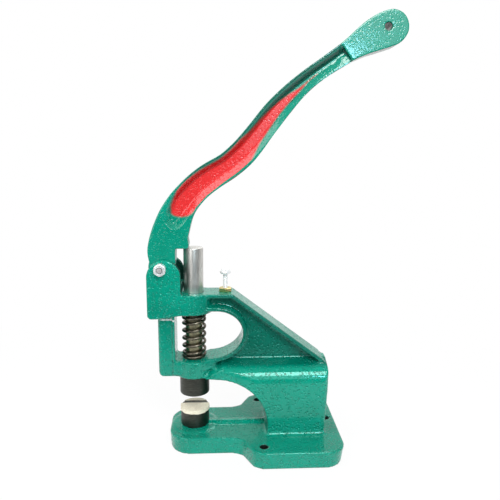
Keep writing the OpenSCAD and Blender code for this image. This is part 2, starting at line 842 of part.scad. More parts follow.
ring_count = ceil(spring_turns * 8);
spring_a0 = 200;
function spring_at(t) = let (a = spring_a0 + 360 * t) [spring_r * cos(a), spring_r * sin(a), spring_z(t)];
function spring_dir(t) = let (a = spring_a0 + 360 * t) [-sin(a), cos(a), 0];
spring_mid = [for (i = [0:ring_count]) spring_at(spring_turns * i / ring_count)];
// straight ends, one wire diameter long
spring_path = concat(
    [spring_mid[0] - wire_d * spring_dir(0)],
    spring_mid,
    [spring_mid[ring_count] + wire_d * spring_dir(spring_turns)]);
path_n = len(spring_path);
function path_dir(i) = unit(spring_path[min(i + 1, path_n - 1)] - spring_path[max(i - 1, 0)]);
function wire_ring(i) = let (
    d = path_dir(i), s = unit(cross(d, [0, 0, 1])), v = cross(s, d))
    [for (k = [0:5]) spring_path[i] + wire_d / 2 * (cos(60 * k) * s + sin(60 * k) * v)];
wire_points = [for (i = [0:path_n - 1]) each wire_ring(i)];
wire_faces = concat(
    [for (k = [1:4]) [0, k, k + 1]],
    [for (i = [0:path_n - 2]) for (k = [0:5]) let (p = 6 * i + k, q = 6 * i + (k + 1) % 6)
        each [[p, p + 6, q], [q, p + 6, q + 6]]],
    [for (k = [1:4]) [6 * (path_n - 1), 6 * (path_n - 1) + k + 1, 6 * (path_n - 1) + k]]);

// least gap of the wire to itself, over points more than half a curl apart
wire_gap = min([for (i = [0:path_n - 1]) for (j = [i + 5:1:path_n - 1])
    norm(spring_path[i] - spring_path[j]) - wire_d]);
echo(str("spring least gap to itself: ", wire_gap, " mm"));

module return_spring() {
    color(black)
        polyhedron(points = wire_points, faces = wire_faces, convexity = 10);
}

// Anvil

module anvil() {
    color(black)
        difference() {
            union() {
                rotate_extrude()
                    polygon([
                        [0, pad_top], [anvil_d / 2 - 0.5, pad_top], [anvil_d / 2, pad_top + 0.5],
                        [anvil_d / 2, anvil_top - 0.6], [anvil_d / 2 - 0.6, anvil_top], [0, anvil_top]]);
                translate([0, 0, pad_top - spigot_l])
                    cylinder(h = spigot_l + 1, d = spigot_d);
            }
            translate([0, 0, pad_top - spigot_l - 1])
                cylinder(h = spigot_l + 5, d = anvil_screw_d + 0.4);
            translate([0, 0, pad_top + seat_floor])
                cylinder(h = anvil_top, d = seat_d);
        }
}

module anvil_screw() {
    color(zinc)
        difference() {
            union() {
                translate([0, 0, pad_top + seat_floor])
                    cylinder(h = anvil_head_h, d = anvil_head_d);
                translate([0, 0, anvil_screw_z])
                    cylinder(h = pad_top + seat_floor + 1 - anvil_screw_z, d = anvil_screw_d);
            }
            translate([0, 0, pad_top + seat_floor + anvil_head_h - anvil_screw_d / 2])
                hex(anvil_screw_d * 0.83, anvil_screw_d);
        }
}

// Masking tape over the anvil

module tape_cap() {
    difference() {
        translate([0, 0, anvil_top - tape_wrap])
            cylinder(h = tape_wrap + tape_t, d = anvil_d + 2 * tape_t);
        translate([0, 0, anvil_top - tape_wrap - 1])
            cylinder(h = tape_wrap + 1, d = anvil_d + 0.02);
    }
}

module tape_front() {
    color(paper)
        difference() {
            tape_cap();
            translate([-far / 2, slit_y - tape_slit / 2, 0])
                cube([far, far, far]);
        }
}

module tape_rear() {
    color(paper)
        difference() {
            tape_cap();
            translate([-far / 2, slit_y + tape_slit / 2 - far, 0])
                cube([far, far, far]);
        }
}

// Stop screw

module stop_screw() {
    color(zinc)
        difference() {
            union() {
                translate([stop_x, 0, bar_top - stop_depth])
                    cylinder(h = stop_top - bar_top + stop_depth - stop_head_h + 0.5, d = stop_d);
                translate([stop_x, 0, 0])
                    rotate_extrude()
                        polygon(concat(
                            [[0, stop_low], [stop_head_d / 2, stop_low]],
                            arc(0, stop_mid, stop_head_d / 2, stop_top - stop_mid, 0, 60, 5),
                            [[0, stop_top - stop_head_h * 0.09]]));
            }
            // cross recess
            translate([stop_x, 0, stop_top])
                for (a = [0, 90])
                    rotate([0, 0, a])
                        cube([stop_head_d * 0.5, 0.9, 2.4], center = true);
        }
}

module stop_screw_nut() {
    color(brass)
        difference() {
            translate([stop_x, 0, stop_seat])
                rotate([0, 0, 30])
                    hex(stop_af, stop_nut_h);
            translate([stop_x, 0, stop_seat - 1])
                cylinder(h = stop_nut_h + 2, d = stop_d);
        }
}

cast_frame();
handle();
handle_bush();
pivot_bolt();
pivot_washer();
pivot_nut();
ram();
ram_head();
head_grub_screw();
spring_collar();
collar_ring();
return_spring();
anvil();
anvil_screw();
tape_front();
tape_rear();
stop_screw();
stop_screw_nut();
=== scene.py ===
"""A hand press for snap buttons, dressed for its picture.

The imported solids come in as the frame. The two castings get worn, painted skins, and the
turned, wound and taped pieces are worked out here with their threads, grain and creases.

Frame: X runs from the ram to the rear column, Y to the far side, Z up, the table at Z = 0.
Sizes are in millimetres and become metres where a mesh is made.
"""

import math

import bmesh
import bpy
import numpy as np
from mathutils import Matrix, Vector


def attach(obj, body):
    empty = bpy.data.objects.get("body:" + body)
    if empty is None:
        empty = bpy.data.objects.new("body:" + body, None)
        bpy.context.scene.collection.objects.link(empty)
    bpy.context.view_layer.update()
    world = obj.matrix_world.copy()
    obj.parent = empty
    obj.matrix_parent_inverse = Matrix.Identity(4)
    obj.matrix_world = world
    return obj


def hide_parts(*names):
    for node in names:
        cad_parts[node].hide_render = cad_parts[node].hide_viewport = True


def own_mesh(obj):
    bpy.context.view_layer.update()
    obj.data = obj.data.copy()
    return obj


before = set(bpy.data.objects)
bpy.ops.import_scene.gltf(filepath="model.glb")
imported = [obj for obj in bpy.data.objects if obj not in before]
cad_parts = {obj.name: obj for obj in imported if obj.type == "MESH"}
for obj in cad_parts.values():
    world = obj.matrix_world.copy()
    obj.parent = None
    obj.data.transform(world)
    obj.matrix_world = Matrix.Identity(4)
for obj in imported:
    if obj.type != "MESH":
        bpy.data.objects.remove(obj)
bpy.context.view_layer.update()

MM = 0.001

# Sizes of the press, in millimetres

PIVOT_X, PIVOT_Z = -25.0, 152.6
EAR_HALF = 15.5
BAR_TOP, BASE_TOP = 130.6, 14.0
# bench holes, X and Y
BENCH_HOLES = ((56.3, -39.4), (56.3, 39.4), (113.8, 4.0))
# middle and half width of the painted highlight on the line under the ears, along X, Y and Z
HIGHLIGHT_BOX = ((-18.0, 8.4), (-9.5, 3.0), (109.1, 0.75))

# the lever's half thickness, its channel's full depth, and its hanging hole
LEVER_HALF, CHANNEL_DEEP = 8.0, 4.6
HANG_X, HANG_Z = 148.2, 336.2
# the step at the paddle: a point (X, Z) of it, and the way across it
STEP_AT, STEP_ACROSS = (112.8, 323.5), (0.798, 0.603)
# the lever's lower outline along the channel, X and Z
LOWER_EDGE = np.array([
    (-4.0, 174.4), (-3.2, 177.1), (-1.3, 187.7), (3.2, 199.1), (11.9, 208.7), (24.1, 218.2),
    (36.1, 226.9), (48.1, 237.2), (56.7, 246.6), (66.8, 260.0), (76.8, 273.4), (86.8, 285.0),
    (96.7, 295.7), (109.9, 304.8), (121.5, 311.4), (131.1, 315.0)])
# outline of the red paint in the channel, X and Z
RED_EDGE = np.array([
    (-16.6, 195.4), (-16.4, 201.7), (-11.5, 213.4), (-4.5, 221.2), (6.4, 228.9), (21.9, 237.4),
    (29.7, 244.0), (37.4, 252.3), (45.0, 258.8), (52.6, 267.5), (60.2, 275.0), (67.7, 281.7),
    (75.3, 287.0), (82.8, 291.5), (96.0, 301.7), (90.3, 297.4), (82.9, 288.9), (75.4, 281.1),
    (67.9, 272.1), (60.4, 261.2), (52.8, 249.9), (46.5, 237.5), (36.6, 226.5), (24.6, 217.6),
    (12.6, 207.8), (5.5, 200.0), (2.5, 196.0), (-1.0, 194.2), (-5.2, 193.0), (-9.0, 192.2),
    (-12.6, 192.6), (-15.2, 193.6)])

RAM_R, RAM_LOW_R = 8.0, 7.0
RAM_TOP, RAM_STEP, RAM_TAIL = 167.1, 113.7, 50.6
HEAD_R, HEAD_LOW, HEAD_TOP = 12.3, 43.3, 59.6
DIE_R, DIE_DEEP = 4.0, 6.5
COLLAR_R, COLLAR_BORE, COLLAR_LOW = 10.1, 7.05, 112.5

ANVIL_R, PAD_TOP, ANVIL_TOP = 11.9, 14.8, 30.2
# bore in the pad for the anvil's spigot
SPIGOT_R, SPIGOT_DEEP = 6.0, 4.0
# tape: its thickness, how far it hangs down, and the slit's middle and width
TAPE, TAPE_WRAP, SLIT_Y, SLIT = 0.3, 3.4, 5.3, 4.4

# pivot bolt: size over flats, radius, nut and head, how far its end stands out of the ear
PIVOT_FLATS, PIVOT_R = 9.0, 3.0
PIVOT_NUT_HIGH, PIVOT_HEAD_HIGH, PIVOT_OUT = 5.0, 4.0, 5.2
WASHER_R, WASHER_BORE, WASHER = 6.0, 3.2, 1.6

STOP_X, STOP_R, STOP_HEAD_R = 25.9, 2.0, 4.4
# the stop screw's foot, its head's underside and its head's top, from the bar's top
STOP_FOOT, STOP_NECK, STOP_TOP = -9.0, 15.1, 18.7
BRASS_FLATS, BRASS_HIGH = 10.0, 3.0

# spring: its wire's radius, and the radius, ends and first angle, in degrees, of the wire's middle
WIRE_R, COIL_R = 1.2, 8.9
COIL_LOW, COIL_HIGH, COIL_START = 75.55, 110.35, 200.0
# closed turns at each end, open turns between them, and the rise of a closed turn
END_TURNS, OPEN_TURNS, END_STEP = 1.0, 4.5, 2.9

FRAME_GRID, LEVER_GRID = (1.5, 0.9), (0.9, 0.56)

# Colours

WHITE = (1, 1, 1, 1)
GREEN = (0.0, 0.285, 0.19, 1)
GREEN_DARK = (0.0, 0.24, 0.155, 1)
GREEN_LIGHT = (0.03, 0.50, 0.38, 1)
RED = (0.75, 0.032, 0.033, 1)
# colour of the painted highlight under the ears
LINE_HIGHLIGHT = (0.85, 0.87, 0.85, 1)
# colour of the painted shade in the bench holes
HOLE_SHADOW = (0.015, 0.02, 0.018, 1)
# colour of the painted shadow between the ears
SHADOW_TONE = (0.003, 0.03, 0.018, 1)
# what the paint is multiplied by where shade is painted in, on the frame and on the lever
FRAME_SHADE_TONE, LEVER_SHADE_TONE = (0.55, 0.47, 0.47, 1), (0.6, 0.25, 0.25, 1)


# Objects and the camera


def new_object(name, data):
    """An object in the scene for a mesh, a camera or a lamp."""
    made = bpy.data.objects.new(name, data)
    bpy.context.collection.objects.link(made)
    return made


def photo_camera():
    """The camera that took the picture: its place, turn, downward tilt and slight roll."""
    turn, tilt, roll = 0.055, 0.182, 0.008
    ahead = Vector((math.sin(turn) * math.cos(tilt), math.cos(turn) * math.cos(tilt), -math.sin(tilt)))
    right = Vector((math.cos(turn), -math.sin(turn), 0))
    up = right.cross(ahead)
    right_rolled = math.cos(roll) * right + math.sin(roll) * up
    up_rolled = math.cos(roll) * up - math.sin(roll) * right
    data = bpy.data.cameras.new("photo_camera")
    data.sensor_width = 36
    data.lens = 36.0
    data.clip_start = 0.01
    stand = Matrix((right_rolled, up_rolled, -ahead)).transposed().to_4x4()
    stand.translation = Vector((24.03, -399.44, 238.45)) * MM
    camera = new_object("photo_camera", data)
    camera.matrix_world = stand
    bpy.context.scene.camera = camera


# Meshes worked out on grids


def weld(mesh, gap, outwards=False):
    """Merges points that lie closer than gap, in metres, and with outwards turns all faces outwards."""
    work = bmesh.new()
    work.from_mesh(mesh)
    bmesh.ops.remove_doubles(work, verts=work.verts, dist=gap)
    if outwards:
        bmesh.ops.recalc_face_normals(work, faces=work.faces)
    work.to_mesh(mesh)
    work.free()


def read_points(mesh, what="co"):
    """The places (co) or unit normals (normal) of a mesh's points, one row each."""
    values = np.empty(len(mesh.vertices) * 3)
    mesh.vertices.foreach_get(what, values)
    return values.reshape(-1, 3)


def write_layer(made, name, values):
    """Stores one number for each point under a name that the materials read."""
    layer = made.data.attributes.new(name, "FLOAT", "POINT")
    layer.data.foreach_set("value", values.astype(np.float32))


def ring_faces(rows, cols, first):
    """Quads of a grid whose last column meets its first: row i, column j to row i + 1, column j + 1."""
    i, j = np.meshgrid(np.arange(rows - 1), np.arange(cols), indexing="ij")
    k = (j + 1) % cols
    corners = (i * cols + j, i * cols + k, (i + 1) * cols + k, (i + 1) * cols + j)
    return first + np.stack(corners, -1).reshape(-1, 4)


def piece(name, grids, sharp=35):
    """One object from closed grids of points in millimetres, poles merged, edges over sharp degrees kept."""
    points, faces, first = [], [], 0
    for grid in grids:
        rows, cols = grid.shape[:2]
        points.append(grid.reshape(-1, 3) * MM)
        faces.append(ring_faces(rows, cols, first))
        first += rows * cols
    mesh = bpy.data.meshes.new(name)
    mesh.from_pydata(np.concatenate(points).tolist(), [], np.concatenate(faces).tolist())
    weld(mesh, 2e-6, outwards=True)
    mesh.shade_smooth()
    mesh.set_sharp_from_angle(angle=math.radians(sharp))
    return new_object(name, mesh)


def open_piece(name, loop):
    """One object from rows that close into a loop, with both ends of the rows capped."""
    ends = np.stack((loop[:, 0].mean(0), loop[:, -1].mean(0)))
    caps = np.repeat(ends[:, None, None], len(loop), 1)
    closed = np.concatenate((caps[0], loop, caps[1]), 1)
    return piece(name, [closed.transpose(1, 0, 2)[:, :-1]], 50)


def place(made, body, slot, material, *nodes):
    """Gives a piece its material and the body it rides on, and hides the nodes that it stands for. slot is
    not used.
    """
    made.data.materials.clear()
    made.data.materials.append(material)
    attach(made, body)
    if nodes:
        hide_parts(*nodes)


def upright(radius, angle, height):
    """Points at a radius and an angle round the vertical axis."""
    radius, angle, height = np.broadcast_arrays(radius, angle, height)
    return np.stack((radius * np.cos(angle), radius * np.sin(angle), height), -1)


def at_pivot(grid, out=0.0):
    """Lays points made round the vertical axis along the pivot instead: height becomes -Y, from out."""
    return np.stack((PIVOT_X + grid[..., 0], out - grid[..., 2], PIVOT_Z + grid[..., 1]), -1)


def angles(count):
    """Even angles round a circle, as one row."""
    return np.linspace(0, 2 * np.pi, count, endpoint=False)[None, :]


def eased(profile):
    """A profile of (radius, height, easing) with each corner replaced by a short curve of that size."""
    profile = np.array(profile, float)
    out = [profile[0, :2]]
    for before, corner, after in zip(profile[:-2], profile[1:-1], profile[2:]):
        if corner[2] == 0:
            out.append(corner[:2])
            continue
        back, on = before[:2] - corner[:2], after[:2] - corner[:2]
        start = corner[:2] + back / np.linalg.norm(back) * corner[2]
        end = corner[:2] + on / np.linalg.norm(on) * corner[2]
        for t in np.linspace(0, 1, 5):
            out.append((1 - t) ** 2 * start + 2 * t * (1 - t) * corner[:2] + t ** 2 * end)
    out.append(profile[-1, :2])
    return np.array(out)


def turned(profile, around=96):
    """A turned shape: the profile's radius and height carried round the vertical axis."""
    profile = np.asarray(profile)
    return upright(profile[:, :1], angles(around), profile[:, 1:2])


def hexagon(flats, height, bore, ease, corner=1.2):
    """A hexagon with both faces chamfered: its outline reaches flats / 2 / cos(angle from a flat's
    middle), at most corner * flats / 2, and each face falls away outside its round land by the
    tangent of 30 degrees. The bore's mouths are cut back by ease."""
    angle = angles(144)
    reach = flats / 2 / np.cos((angle + np.pi / 6) % (np.pi / 3) - np.pi / 6)
    reach = np.minimum(reach, corner * flats / 2)
    land = flats / 2 * 0.96
    drop = (reach - land) * math.tan(math.radians(30))
    radii = (bore, bore + ease, land, reach, reach, land, bore + ease, bore, bore)
    heights = (ease, 0, 0, drop, height - drop, height, height, height - ease, ease)
    return np.concatenate([upright(radius, angle, level) for radius, level in zip(radii, heights)])


def threaded(radius, low, high, pitch):
    """A threaded rod: the radius falls by the thread's depth as a triangle wave of height and angle,
    and both ends are pointed by 45 degrees."""
    deep = 0.55 * pitch
    height = np.arange(low, high + pitch / 12, pitch / 6)[:, None]
    angle = angles(40)
    wave = np.abs(2 * ((height / pitch - angle / (2 * np.pi)) % 1) - 1)
    to_end = np.minimum(height - low, high - height).clip(0)
    body = np.minimum(radius - deep * wave, radius - deep * 1.1 + to_end)
    return np.concatenate((upright(0, angle, low), upright(body, angle, height), upright(0, angle, high)))


def tube(path, radius):
    """A round wire along a path: each ring stands square to the path, and both ends are cut flat, with
    a ring at 0.86 of the radius."""
    ahead = np.gradient(path, axis=0)
    ahead /= np.linalg.norm(ahead, axis=1, keepdims=True)
    side = np.cross(ahead, (0, 0, 1.0))
    side /= np.linalg.norm(side, axis=1, keepdims=True)
    up = np.cross(side, ahead)
    angle = angles(14)[..., None]
    rows = path[:, None] + radius * (np.cos(angle) * side[:, None] + np.sin(angle) * up[:, None])
    low = [path[0] + (rows[0] - path[0]) * share for share in (0, 0.86)]
    high = [path[-1] + (rows[-1] - path[-1]) * share for share in (0.86, 0)]
    return np.concatenate((low, rows, high))


# Casting skins


def averaged(points, edges, weight):
    """Moves each point half way to the mean of its neighbours, twice, as far as its weight allows."""
    a, b = edges[:, 0], edges[:, 1]
    count = len(points)
    ties = np.bincount(a, minlength=count) + np.bincount(b, minlength=count)
    for _ in range(2):
        mean = np.empty_like(points)
        for axis in range(3):
            total = np.bincount(a, points[b, axis], count) + np.bincount(b, points[a, axis], count)
            mean[:, axis] = total / ties
        points = points + weight[:, None] * 0.5 * (mean - points)
    return points


def cast_skin(name, solid, grid, shape, wear):
    """A casting's skin: the solid rebuilt on an even grid, shaped, then its edges rounded by averaging.
    shape moves the points, in millimetres, and wear gives each how far it may follow the averaging:
    0 stays crisp, 1 rounds fully."""
    work = new_object(name + "_work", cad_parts[solid].data.copy())
    weld(work.data, 1e-6)
    even = work.modifiers.new("even_grid", "REMESH")
    even.mode = "VOXEL"
    even.voxel_size = grid[1] * MM
    even.adaptivity = 0
    graph = bpy.context.evaluated_depsgraph_get()
    mesh = bpy.data.meshes.new_from_object(work.evaluated_get(graph))
    bpy.data.objects.remove(work)
    mesh.name = name
    edges = np.empty(len(mesh.edges) * 2, int)
    mesh.edges.foreach_get("vertices", edges)
    points = shape(read_points(mesh) / MM)
    points = averaged(points, edges.reshape(-1, 2), wear(points))
    mesh.vertices.foreach_set("co", (points * MM).ravel())
    mesh.update()
    mesh.shade_smooth()
    return new_object(name, mesh), points


def ramp(value, zero, one):
    """A share that is 0 at one value and 1 at another, straight between them and held beyond."""
    return np.clip((value - zero) / (one - zero), 0, 1)


def from_pivot(p):
    """The distance of each point to the pivot's axis."""
    return np.hypot(p[:, 0] - PIVOT_X, p[:, 2] - PIVOT_Z)


def from_bench_holes(p):
    """The distance of each point to the nearest bench hole's axis."""
    return np.min([np.hypot(p[:, 0] - x, p[:, 1] - y) for x, y in BENCH_HOLES], axis=0)


def from_sides(p, starts, ends):
    """The distance of each point (X, Z) to the nearest of the straight stretches from starts to ends."""
    near = np.full(len(p), np.inf)
    for start, way in zip(starts, ends - starts):
        rel = p - start
        t = np.clip((rel @ way) / (way @ way), 0, 1)
        near = np.minimum(near, np.hypot(*(rel - t[:, None] * way).T))
    return near


def from_lower_edge(p):
    """The distance of each point to the lever's lower outline, seen from the side."""
    return from_sides(p[:, [0, 2]], LOWER_EDGE[:-1], LOWER_EDGE[1:])


def inside_by(p, outline):
    """How far each point (X, Z) lies inside a closed outline, negative outside: the distance to the
    nearest side, with its sign from counting the sides that a line to the left crosses."""
    ends = np.roll(outline, -1, axis=0)
    crossed = np.zeros(len(p), bool)
    for start, end in zip(outline, ends):
        spans = (start[1] > p[:, 1]) != (end[1] > p[:, 1])
        # a level side is never crossed, so its rise only has to differ from 0
        rise = (end[1] - start[1]) or 1e-9
        cut = start[0] + (p[:, 1] - start[1]) * (end[0] - start[0]) / rise
        crossed ^= spans & (p[:, 0] < cut)
    near = from_sides(p, outline, ends)
    return np.where(crossed, near, -near)


def past_step(p):
    """How far each point lies beyond the step at the paddle, negative on the channel's side."""
    return (p[:, 0] - STEP_AT[0]) * STEP_ACROSS[0] + (p[:, 2] - STEP_AT[1]) * STEP_ACROSS[1]


# The frame's shape, wear and paint


def frame_shape(p):
    """The base's sides lean in towards its underside: below the base's top a point moves towards the
    draft's middle, by up to draft times its distance at the table. The far ear's rear edge is drawn
    back: the last stretch of it in front of the ram grows by ear_back."""
    draft, middle, ear_back = 0.02, (25.0, 0.0), 0.9
    out = p.copy()
    out[:, :2] -= draft * ramp(p[:, 2], BASE_TOP, 0)[:, None] * (p[:, :2] - middle)
    far_ear = (p[:, 1] > 6) * ramp(p[:, 2], 131, 133) * (p[:, 0] < -9)
    out[:, 0] += ear_back * far_ear * ramp(p[:, 0], -14, -9.4)
    return out


def frame_wear(p):
    """Cast edges round fully; drilled holes and the machined mouths of the guides stay crisper."""
    drilled, machined = 0.25, 0.2
    from_ram = np.hypot(p[:, 0], p[:, 1])
    wear = np.ones(len(p))
    wear[(from_bench_holes(p) < 4.6) & (p[:, 2] < 18)] = drilled
    wear[(from_ram < 8.8) & (p[:, 2] > 50)] = machined
    wear[from_pivot(p) < 4.2] = drilled
    return wear


def frame_shade_mask(p, normal):
    """Where shade is painted into the frame's paint: the upright faces of the web, bar and sloping flange,
    and the strip of the shoulder beside the web. It fades out towards the ears and the column, and
    comes back faintly on the near side of the foot and of the guides."""
    x, y, z = p.T
    web_top, faint = 76, 0.3
    side_face = ramp(np.abs(normal[:, 1]), 0, 0.25)
    beside_web = np.where(z < web_top, ramp(np.abs(y), 17, 12), 1)
    upper = ramp(x, -8, 26) * ramp(z, 66, 70) * side_face * beside_web
    foot = faint * ramp(z, 70, 30) * ramp(y, 10, -15)
    bosses = faint * ramp(z, 128, 118) * ramp(x, 30, 15) * (y < 0)
    return np.maximum(upper, np.maximum(foot, bosses))


def frame_shadow_between_ears(p, normal):
    """Painted shadow between the ears, beside the ram: dark, matt and without coat on the faces towards
    the lever's eye and towards the ram."""
    x, y, z = p.T
    inner = ramp(np.abs(y), 10.2, 9.2) * ramp(np.abs(normal[:, 1]), 0.3, 0.8)
    rear = ramp(normal[:, 0], 0.3, 0.8) * ramp(z, 164, 160) * ramp(np.abs(y), EAR_HALF - 0.3, EAR_HALF - 1.1)
    return ramp(z, 130, 133) * ramp(x, -7.5, -8.5) * np.maximum(inner, rear)


def frame_shaded_holes(p):
    """Painted shade on the walls of the drilled bench holes, up to just under their mouths."""
    return ramp(from_bench_holes(p), 4.1, 3.7) * ramp(p[:, 2], BASE_TOP - 0.1, BASE_TOP - 0.7)


# The lever's shape, wear and paint


def lever_shape(p):
    """The channel's lower side as cast. side is the distance from the lower outline. Past a narrow
    edge a wall goes down from lift, by slope for each millimetre of side, to its foot; from there the
    floor falls to full depth over run. Towards the paddle the wall is gentler and starts deeper, which
    lets it in below the flat side, and the lever's underside is narrowed to meet it. All of it fades
    in beyond the lever's nose and ends at the step at the paddle."""
    edge, skin = 0.6, 0.45
    side = from_lower_edge(p)
    depth = LEVER_HALF - np.abs(p[:, 1])
    far = ramp(p[:, 0], 58, 76)
    slope = np.interp(p[:, 0], (28, 38, 62, 76, 110, 114), (0.7, 0.75, 0.72, 0.48, 0.48, 0.33))
    lift = 0.6 + 1.5 * far
    foot = 6.1 - 0.8 * far
    run = 5.5 - 3.5 * far
    wall = lift + slope * (side - edge).clip(0)
    at_foot = lift + slope * (foot - edge)
    floor = at_foot + (CHANNEL_DEEP - at_foot) * (side - foot) / run
    eased_depth = np.where(side < foot, wall, np.minimum(depth, floor))
    narrowed = LEVER_HALF - (LEVER_HALF - depth) * (LEVER_HALF - lift) / LEVER_HALF
    shaped = np.where(side < skin, narrowed, depth)
    shaped = np.where((depth < CHANNEL_DEEP + 0.2) & (side > skin), eased_depth, shaped)
    share = ramp(p[:, 0], -5, 9) ** 1.5 * (past_step(p) < -0.2)
    out = p.copy()
    out[:, 1] = np.sign(p[:, 1]) * (LEVER_HALF - (depth + share * (shaped - depth)))
    return out


def lever_wear(p):
    """The lever's edges round fully; its eye and hanging hole stay crisper."""
    from_hole = np.hypot(p[:, 0] - HANG_X, p[:, 2] - HANG_Z)
    return np.where((from_pivot(p) < 5.6) | (from_hole < 4.2), 0.3, 1.0)


def lever_red(p):
    """The red paint's cover: full inside its outline, faded at its edge, and none on the flat sides or
    on the lever's underside."""
    depth = LEVER_HALF - np.abs(p[:, 1])
    inside = inside_by(p[:, [0, 2]], RED_EDGE)
    return ramp(inside, -0.8, 0.8) * ramp(depth, 0.15, 0.5) * ramp(from_lower_edge(p), 0.6, 1.0)


def lever_shade_mask(p, normal):
    """Where shade is painted into the lever's paint: on the walls in its channel that face down, and on
    the channel's upper rim."""
    side = np.abs(p[:, 1])
    walls = ramp(side, 7.6, 6.1) * np.clip(-3.0 * normal[:, 2] - 0.1, 0, 1)
    rim = ramp(from_lower_edge(p), 8, 11) * ramp(past_step(p), 0, -1) * ramp(p[:, 0], -14, 2)
    rim *= 0.8 * ramp(side, 7, 7.5) * ramp(np.abs(normal[:, 1]), 0.5, 1)
    return np.maximum(walls, rim)


def castings(green, green_and_red):
    """The painted frame and the painted lever."""
    made, points = cast_skin("painted_frame", "cast_frame", FRAME_GRID, frame_shape, frame_wear)
    normal = read_points(made.data, "normal")
    # painted shade on the frame's web, bar, flange, shoulder strip, foot and guides
    write_layer(made, "shade_painted_in", frame_shade_mask(points, normal))
    # painted shade inside the bench holes
    write_layer(made, "painted_hole_shade", frame_shaded_holes(points))
    # painted shadow between the ears, beside the ram
    write_layer(made, "painted_ear_shadow", frame_shadow_between_ears(points, normal))
    place(made, "frame", "green_casting", green, "cast_frame")
    made, points = cast_skin("painted_lever", "handle", LEVER_GRID, lever_shape, lever_wear)
    write_layer(made, "red_paint", lever_red(points))
    # painted shade in the lever's channel and on its upper rim
    write_layer(made, "shade_painted_in", lever_shade_mask(points, read_points(made.data, "normal")))
    place(made, "lever", "green_lever", green_and_red, "handle")


# Turned, threaded and wound pieces


def ram_pieces(ground, black, plain):
    """The ram and all that moves with it."""
    bar = turned(eased([
        (0, RAM_TAIL, 0), (RAM_LOW_R, RAM_TAIL, 0.6), (RAM_LOW_R, RAM_STEP, 0), (RAM_R, RAM_STEP, 0.15),
        (RAM_R, RAM_TOP, 0.55), (0, RAM_TOP, 0)]))
    place(piece("steel_ram", [bar]), "ram_group", "ram_steel", ground, "ram")
    die_end = HEAD_LOW + DIE_DEEP
    shell = turned(eased([
        (DIE_R, die_end, 0), (DIE_R, HEAD_LOW, 0.4), (HEAD_R, HEAD_LOW, 0.9), (HEAD_R, HEAD_TOP, 0.6),
        (RAM_LOW_R, HEAD_TOP, 0.2), (RAM_LOW_R, RAM_TAIL, 0), (0, RAM_TAIL, 0), (0, die_end, 0),
        (DIE_R, die_end, 0)]), 128)
    place(piece("die_holder", [shell]), "ram_group", "black_steel", black, "ram_head")
    collar = turned(eased([
        (COLLAR_BORE, COLLAR_LOW, 0), (COLLAR_R, COLLAR_LOW, 0.25), (COLLAR_R, RAM_STEP, 0.25),
        (COLLAR_BORE, RAM_STEP, 0), (COLLAR_BORE, COLLAR_LOW, 0)]))
    place(piece("lifting_collar", [collar]), "ram_group", "bush_steel", plain, "spring_collar")


def coil_path():
    """The wire's middle: height rises slowly in the closed ends and steadily between them, smoothed
    where the two meet, and both ends run straight for one wire's thickness."""
    turn_steps, smoothings = 28, 6
    turns = 2 * END_TURNS + OPEN_TURNS
    t = np.linspace(0, turns, int(turns * turn_steps) + 1)
    open_step = (COIL_HIGH - COIL_LOW - 2 * END_TURNS * END_STEP) / OPEN_TURNS
    first, last = END_TURNS, END_TURNS + OPEN_TURNS
    height = COIL_LOW + END_STEP * np.minimum(t, first)
    height += open_step * np.clip(t - first, 0, OPEN_TURNS) + END_STEP * np.clip(t - last, 0, None)
    angle = np.radians(COIL_START) + 2 * np.pi * t
    path = np.stack((COIL_R * np.cos(angle), COIL_R * np.sin(angle), height), -1)
    for _ in range(smoothings):
        path[1:-1, 2] = (path[:-2, 2] + 2 * path[1:-1, 2] + path[2:, 2]) / 4
    onward = 2 * WIRE_R * np.stack((-np.sin(angle), np.cos(angle), 0 * angle), -1)
    return np.concatenate((path[:1] - onward[:1], path, path[-1:] + onward[-1:]))


def spring(wire):
    """The return spring, one unbroken wire."""
    made = piece("coil_spring", [tube(coil_path(), WIRE_R)], 50)
    place(made, "frame", "spring_steel", wire, "return_spring")
    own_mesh(made)


def pivot_pieces(zinc, cut_end):
    """Nut and threaded end on the near side, washer and hexagon head on the far side. The thread
    starts inside the ear, and the head's corners are turned away from the nut's."""
    thread_from, lap = 12.0, 0.5
    shank_low, shank_high = -(EAR_HALF + WASHER - 0.1), thread_from + lap
    nut = at_pivot(hexagon(PIVOT_FLATS, PIVOT_NUT_HIGH, PIVOT_R, 0.5, corner=1.06), -EAR_HALF)
    place(piece("hex_nut", [nut]), "frame", "zinc_steel", zinc, "pivot_nut")
    rod = at_pivot(threaded(PIVOT_R, thread_from, EAR_HALF + PIVOT_OUT, 1.0))
    shank = [(0, shank_low), (PIVOT_R, shank_low), (PIVOT_R, shank_high), (0, shank_high)]
    shank = at_pivot(turned(shank, 64))
    head = hexagon(PIVOT_FLATS, PIVOT_HEAD_HIGH, 0.01, 0.1)[..., [1, 0, 2]]
    head = at_pivot(head, EAR_HALF + WASHER + PIVOT_HEAD_HIGH)
    place(piece("hinge_bolt", [rod, shank, head]), "frame", "zinc_steel", zinc, "pivot_bolt")
    tip = [(0, 0), (2.5, 0), (2.5, 0.2), (2.2, 0.5), (1.8, 0.52), (1.4, 0.55), (0.9, 0.6), (0, 0.6)]
    end = piece("hinge_bolt_end", [at_pivot(turned(tip, 64), -EAR_HALF - PIVOT_OUT)])
    # painted shade on the bolt end's rim, in the gap round the thread
    write_layer(end, "shade_round_thread", ramp(from_pivot(read_points(end.data) / MM), 1.9, 2.2))
    place(end, "frame", "zinc_steel", cut_end)
    ring = at_pivot(turned(eased([
        (WASHER_BORE, 0, 0), (WASHER_R, 0, 0.2), (WASHER_R, WASHER, 0.3), (WASHER_BORE, WASHER, 0.2),
        (WASHER_BORE, 0, 0)])), EAR_HALF + WASHER)
    place(piece("flat_washer", [ring]), "frame", "zinc_steel", zinc, "pivot_washer")


